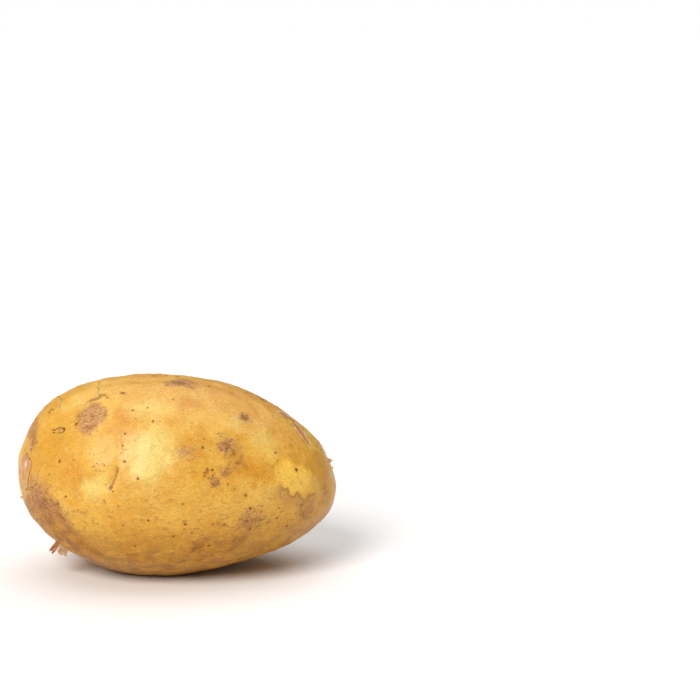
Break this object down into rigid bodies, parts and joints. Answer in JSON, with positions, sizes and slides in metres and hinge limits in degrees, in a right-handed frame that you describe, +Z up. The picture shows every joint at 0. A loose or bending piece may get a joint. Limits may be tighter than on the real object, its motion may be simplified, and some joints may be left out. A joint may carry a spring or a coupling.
{
  "type": "potato",
  "caption": "Whole raw table potato with thin yellow skin, egg-shaped and slightly tapered, lying on a small flat spot; for food, kitchen and market scenes.",
  "frame": {"origin": "on the surface that the potato rests on, under the middle of its bounding box", "axes": "+X along the potato from its blunt end to its slimmer end, +Y to its back, away from a viewer who looks at its front, +Z up"},
  "size_m": [0.0996, 0.0682, 0.0611],
  "materials": {
    "potato_skin": "thin waxy golden yellow skin, half matt, with brown pores, buff scuffs and small eyes"
  },
  "bodies": {
    "root": {"potato": "potato_skin"}
  },
  "joints": []
}
